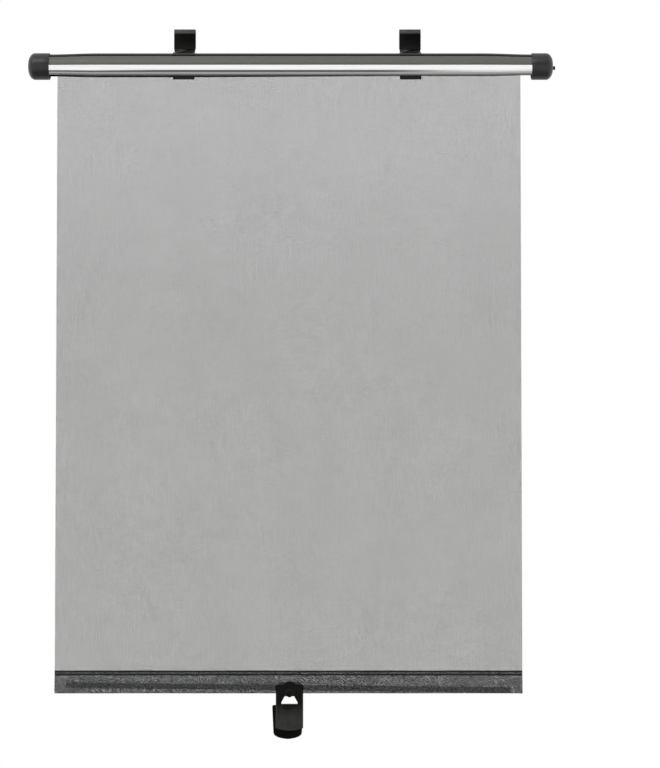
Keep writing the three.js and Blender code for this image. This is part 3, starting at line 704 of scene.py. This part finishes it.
def narrow_window(form):
    """The window's sides slope straight from its narrow top to its rounded sill."""
    for vertex in form.verts:
        across = vertex.co.x / MM - TAB_CENTRE
        deep = (WINDOW_TOP - (vertex.co.z / MM - AXIS_Z)) / (WINDOW_TOP - WINDOW_SILL)
        if -0.01 < deep < 1.01 and 4.9 < abs(across) < 7.6:
            half = WINDOW_TOP_HALF + WINDOW_SLOPE * min(1.0, max(0.0, deep / 0.75))
            half -= 0.35 * smooth((deep - 0.9) * 10.0)
            vertex.co.x = (TAB_CENTRE + math.copysign(half, across)) * MM
        if 0.97 < deep < 1.01 and abs(across) < 7.6:
            vertex.co.z += SILL_RISE * MM


def shape_tongue(form):
    """The tongue stands out a little more on both sides of the plate."""
    narrow_window(form)
    for vertex in form.verts:
        if vertex.co.z / MM - AXIS_Z < WINDOW_SILL - 0.4:
            aside = vertex.co.x / MM - TONGUE_CENTRE
            vertex.co.x = (TONGUE_CENTRE + aside * TONGUE_GROWTH) * MM


plate = reworked("tab_plate", "pull_tab_front", 0.25, change=narrow_window)
dress(plate, "black_tab", "blind", "pull_tab_front")
tongue = reworked("tab_tongue", "pull_tab_back", 0.35, segments=3, change=shape_tongue)
dress(tongue, "black_tab", "blind", "pull_tab_back")
dress(reworked("rivet", "tab_rivet", 0.12), "rivet_plastic", "blind", "tab_rivet")
dress(reworked("hem_bar", "bottom_bar", 0.1), "bar_plastic", "blind", "bottom_bar")


def cloth(name, rows, columns, place):
    """A single layer of cloth from place(u, v), both from 0 to 1."""
    points = [place(i / columns, j / rows) for j in range(rows + 1) for i in range(columns + 1)]
    wide = columns + 1
    faces = []
    for j in range(rows):
        for i in range(columns):
            low = j * wide + i
            faces.append((low, low + 1, low + wide + 1, low + wide))
    return mesh_piece(name, points, faces)


def ripple(x, z):
    """The slight waves of hung cloth, in millimetres, which fade out at the roller and the hem."""
    deep = (SCREEN_TOP - z) / (SCREEN_TOP - HEM_TOP)
    fade = smooth(deep * 4.0) * smooth((0.76 - deep) * 5.0)
    slow = math.sin(x * 0.021 + z * 0.004) + 0.6 * math.sin(x * 0.047 - z * 0.006 + 1.3)
    return 0.35 * fade * slow


def screen_place(u, v):
    x = FABRIC_LEFT + (FABRIC_RIGHT - FABRIC_LEFT) * u
    z = SCREEN_TOP + (SCREEN_END - SCREEN_TOP) * v
    return (x * MM, *near_axis(FABRIC_PLANE + ripple(x, z), z))


screen = cloth("mesh_screen", 150, 160, screen_place)
dress(screen, "screen_mesh", "cassette", "fabric_screen")


def roll_place(u, v):
    x = FABRIC_LEFT + (FABRIC_RIGHT - FABRIC_LEFT) * u
    y, z = polar(ROLL_START + ROLL_GROWTH * v, 360.0 * ROLL_TURNS * (1.0 - v))
    return (x * MM, *near_axis(y, z - ROLLER_SINK))


roll = cloth("mesh_roll", 96, 24, roll_place)
dress(roll, "screen_mesh", "roller", "fabric_roll")


def hem_path():
    """From the raw edge inside, over the top, down the front, round the bar and up the back."""
    path = [(HEM_BACK - 0.30, HEM_TOP - 3.6), (HEM_BACK - 0.30, HEM_TOP - 0.35)]
    path += [(HEM_BACK - 0.42, HEM_TOP - 0.05), (HEM_BACK - 0.56, HEM_TOP - 0.35)]
    path += [(HEM_BACK - 0.58, HEM_TOP - 4.0), (HEM_BACK - 1.25, HEM_TOP - 6.2)]
    front = HEM_BACK - POUCH_DEPTH
    path += [(front + 0.30, HEM_TOP - 8.6), (front + 0.05, HEM_TOP - 10.6)]
    middle = HEM_BACK - POUCH_DEPTH / 2
    radius = POUCH_DEPTH / 2 - 0.02
    for i in range(13):
        a = math.radians(180.0 + 15.0 * i)
        path.append((middle + radius * math.cos(a), HEM_BOTTOM + radius + radius * math.sin(a)))
    path += [(HEM_BACK - 0.02, HEM_TOP - 9.0), (HEM_BACK - 0.02, HEM_TOP)]
    return resampled(path, 56)


def resampled(path, count):
    lengths = [0.0]
    for a, b in zip(path, path[1:]):
        lengths.append(lengths[-1] + math.dist(a, b))
    made = []
    j = 0
    for i in range(count + 1):
        want = lengths[-1] * i / count
        while j < len(path) - 2 and lengths[j + 1] < want:
            j += 1
        share = (want - lengths[j]) / (lengths[j + 1] - lengths[j])
        a, b = path[j], path[j + 1]
        made.append((a[0] + (b[0] - a[0]) * share, a[1] + (b[1] - a[1]) * share))
    return made


HEM_PATH = hem_path()
randomly = random.Random(7)
PUCKER_RANGES = ((0.05, 0.16), (0, 6.28), (0.3, 1.0))
PUCKERS = [tuple(randomly.uniform(*limits) for limits in PUCKER_RANGES) for _ in range(6)]


def pucker(x):
    total = sum(size * math.sin(x * rate + shift) for rate, shift, size in PUCKERS)
    return total / len(PUCKERS)


def hem_place(u, v):
    x = FABRIC_LEFT + (FABRIC_RIGHT - FABRIC_LEFT) * u
    y, z = HEM_PATH[round(v * (len(HEM_PATH) - 1))]
    top = smooth((z - HEM_TOP + 5.0) / 5.0)
    bottom = smooth((HEM_BOTTOM + 4.0 - z) / 4.0)
    wave = pucker(x)
    z += PUCKER_HEIGHT * wave * top + 0.18 * pucker(x * 0.7 + 40.0) * bottom
    y -= 0.05 * (wave + 1.0) * (1.0 - top)
    return (x * MM, *near_axis(y, z))


hem = cloth("mesh_hem", 56, 420, hem_place)
dress(hem, "hem_mesh", "blind", "fabric_hem")


def stitch_tree():
    """A row of stitches along X: short threads laid between two needle holes."""
    tree = bpy.data.node_groups.new("hem_stitches", "GeometryNodeTree")
    face = tree.interface
    face.new_socket("Geometry", in_out="INPUT", socket_type="NodeSocketGeometry")
    for name in ("Start", "End", "Pitch", "Length", "Thickness"):
        face.new_socket(name, in_out="INPUT", socket_type="NodeSocketFloat")
    face.new_socket("Place", in_out="INPUT", socket_type="NodeSocketVector")
    face.new_socket("Seed", in_out="INPUT", socket_type="NodeSocketInt")
    face.new_socket("Geometry", in_out="OUTPUT", socket_type="NodeSocketGeometry")
    nodes, links = tree.nodes, tree.links
    given = nodes.new("NodeGroupInput")
    result = nodes.new("NodeGroupOutput")

    def maths(operation, a, b):
        node = nodes.new("ShaderNodeMath")
        node.operation = operation
        links.new(a, node.inputs[0])
        links.new(b, node.inputs[1])
        return node.outputs[0]

    span = maths("SUBTRACT", given.outputs["End"], given.outputs["Start"])
    count = maths("DIVIDE", span, given.outputs["Pitch"])
    line = nodes.new("GeometryNodeMeshLine")
    line.mode = "OFFSET"
    links.new(count, line.inputs["Count"])
    step = nodes.new("ShaderNodeCombineXYZ")
    links.new(given.outputs["Pitch"], step.inputs[0])
    links.new(step.outputs[0], line.inputs["Offset"])
    links.new(given.outputs["Place"], line.inputs["Start Location"])
    capsule = nodes.new("GeometryNodeMeshCylinder")
    capsule.fill_type = "NGON"
    capsule.inputs["Vertices"].default_value = 8
    capsule.inputs["Side Segments"].default_value = 4
    links.new(given.outputs["Thickness"], capsule.inputs["Radius"])
    links.new(given.outputs["Length"], capsule.inputs["Depth"])
    spread = nodes.new("FunctionNodeRandomValue")
    spread.data_type = "FLOAT_VECTOR"
    spread.inputs["Min"].default_value = (-0.06, math.pi / 2 - 0.05, -0.03)
    spread.inputs["Max"].default_value = (0.06, math.pi / 2 + 0.05, 0.03)
    links.new(given.outputs["Seed"], spread.inputs["Seed"])
    put = nodes.new("GeometryNodeInstanceOnPoints")
    links.new(line.outputs[0], put.inputs["Points"])
    links.new(capsule.outputs["Mesh"], put.inputs["Instance"])
    links.new(spread.outputs[0], put.inputs["Rotation"])
    real = nodes.new("GeometryNodeRealizeInstances")
    links.new(put.outputs[0], real.inputs[0])
    paint = nodes.new("GeometryNodeSetMaterial")
    paint.inputs["Material"].default_value = thread
    links.new(real.outputs[0], paint.inputs["Geometry"])
    links.new(paint.outputs[0], result.inputs[0])
    return tree


STITCHES = stitch_tree()


def stitch_row(name, y, z, seed):
    piece = mesh_piece(name, [(0, 0, 0)], [])
    modifier = piece.modifiers.new("stitches", "NODES")
    modifier.node_group = STITCHES
    left = (FABRIC_LEFT + 2.0) * MM
    given = {
        "Start": left,
        "End": (FABRIC_RIGHT - 1.0) * MM,
        "Pitch": STITCH_PITCH * MM,
        "Length": STITCH_LENGTH * MM,
        "Thickness": STITCH_RADIUS * MM,
        "Place": (left, *near_axis(y, z)),
        "Seed": seed,
    }
    for item in STITCHES.interface.items_tree:
        if item.in_out == "INPUT" and item.name in given:
            modifier[item.identifier] = given[item.name]
    piece.data.update()
    settle(piece)
    for vertex in piece.data.vertices:
        vertex.co.z += 0.6 * PUCKER_HEIGHT * MM * pucker(vertex.co.x / MM)
    shade(piece)
    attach(piece, "blind")
    return piece


front_stitches = stitch_row("stitches_front", HEM_BACK - 0.80, HEM_TOP - STITCH_DROP, 3)
back_stitches = stitch_row("stitches_back", HEM_BACK + 0.14, HEM_TOP - STITCH_DROP, 4)

screen_edge = (0, *near_axis(FABRIC_PLANE, SCREEN_TOP))
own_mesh(screen)


spring = bpy.data.objects.new("return_spring", frame["nodes"]["button_spring"].data.copy())
bpy.context.scene.collection.objects.link(spring)
shade(spring)
dress(spring, "spring_steel", "cassette", "button_spring")
spring_foot = (SPRING_SEAT * MM, *near_axis(0, 0))
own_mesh(spring)


def build_camera():
    data = bpy.data.cameras.new("camera")
    data.lens = CAMERA_LENS
    data.sensor_width = 36.0
    data.clip_start = 0.05
    data.clip_end = 50.0
    camera = bpy.data.objects.new("camera", data)
    bpy.context.scene.collection.objects.link(camera)
    camera.location = CAMERA_PLACE
    camera.rotation_euler = (math.radians(CAMERA_TILT), 0.0, 0.0)
    bpy.context.scene.camera = camera


def area_light(name, place, aim, size, power, glossy=False):
    data = bpy.data.lights.new(name, "AREA")
    data.shape = "RECTANGLE"
    data.size, data.size_y = size
    data.energy = power
    light = bpy.data.objects.new(name, data)
    bpy.context.scene.collection.objects.link(light)
    light.location = place
    light.rotation_euler = (Vector(aim) - Vector(place)).to_track_quat("-Z", "Y").to_euler()
    light.visible_glossy = glossy


def build_world():
    """White behind the object and in its mirrors, and a dimmer, even light on all the rest."""
    world = bpy.data.worlds.new("studio")
    bpy.context.scene.world = world
    world.use_nodes = True
    r = Recipe(world.node_tree)
    kinds = ("Is Camera Ray", "Is Glossy Ray", "Is Transmission Ray")
    rays = [r.add("ShaderNodeLightPath", output=kind) for kind in kinds]
    seen = (rays[0] + rays[1] + rays[2]).clamped()
    light = r.add("ShaderNodeBackground", {}, {"Color": (1.0, 1.0, 1.0), "Strength": seen * 0.55 + 0.45})
    r.add("ShaderNodeOutputWorld", {}, {"Surface": light})


def staged(name, points, material):
    piece = mesh_piece(name, points, [(0, 1, 2, 3)], shaded=False)
    piece.data.materials.append(material)
    return piece


def floor_material():
    """Pale, and gone at its rim, so that no horizon shows."""
    material = bpy.data.materials.new("floor")
    material.use_nodes = True
    r = Recipe(material.node_tree)
    x, y, _ = r.places()
    away = ((x * x + y * y) ** 0.5).stepped(900.0, 1550.0)
    sockets = {"Base Color": (0.86, 0.86, 0.85), "Roughness": 0.9, "Alpha": 1.0 - away}
    shader = r.add("ShaderNodeBsdfPrincipled", {}, sockets)
    r.add("ShaderNodeOutputMaterial", {}, {"Surface": shader})
    return material


def studio_card(name, points, paint):
    """A card that only mirrors see. paint gives its tone, and how much of it is there."""
    material = bpy.data.materials.new(name)
    material.use_nodes = True
    r = Recipe(material.node_tree)
    tone, share = paint(*r.places())
    glow = r.add("ShaderNodeEmission", {}, {"Color": (1.0, 1.0, 1.0), "Strength": tone})
    clear = r.add("ShaderNodeBsdfTransparent")
    mixed = r.add("ShaderNodeMixShader", {}, {0: share, 1: clear, 2: glow})
    r.add("ShaderNodeOutputMaterial", {}, {"Surface": mixed})
    card = staged(name, points, material)
    card.visible_camera = False
    card.visible_diffuse = False
    card.visible_shadow = False
    card.visible_transmission = False


def grey_tone(x, y, z):
    """The dark line in the bright strip, thinner and lower at its left end and gone at its right one."""
    lift = x.stepped(-250.0, -160.0, 110.0, 0.0)
    there = (1.0 - x.stepped(110.0, 200.0)) * (1.0 - (z + lift).stepped(-560.0, -440.0))
    return 0.12, there


def low_tone(x, y, z):
    """The grey bands along the bright strip's lower edge."""
    near = y.stepped(-600.0, -520.0, 0.12, 0.46) - y.stepped(-420.0, -150.0, 0.0, 0.32)
    return near + y.stepped(40.0, 160.0, 0.0, 0.5), 1.0


def front_tone(x, y, z):
    """Dark in front of the object and above it, and gone at its lower edge."""
    return 0.03, z.stepped(110.0, 190.0)


def upright(left, right, y, low, high):
    return [(left, y, low), (right, y, low), (right, y, high), (left, y, high)]


def level(half, front, back, z):
    return [(-half, front, z), (half, front, z), (half, back, z), (-half, back, z)]


build_camera()
build_world()
area_light("key", (-0.9, -1.6, 1.3), (0.0, 0.0, -0.3), (1.6, 1.2), 22.0, glossy=True)
area_light("fill", (1.1, -1.8, 0.2), (0.0, 0.0, -0.3), (1.4, 1.4), 9.0)
area_light("rim", (0.2, 1.6, 1.2), (0.0, 0.0, -0.2), (1.6, 0.8), 9.0)

staged("floor", level(FLOOR_HALF, -FLOOR_HALF, FLOOR_HALF, FLOOR_Z), floor_material())
studio_card("low_card", level(1.2, -0.62, 0.5, -0.97), low_tone)
studio_card("grey_card", upright(-1.0, 0.3, -0.62, -0.965, -0.4), grey_tone)
studio_card("front_card", upright(-1.6, 1.6, -1.5, 0.10, 1.0), front_tone)

bpy.context.scene.view_settings.view_transform = "Standard"
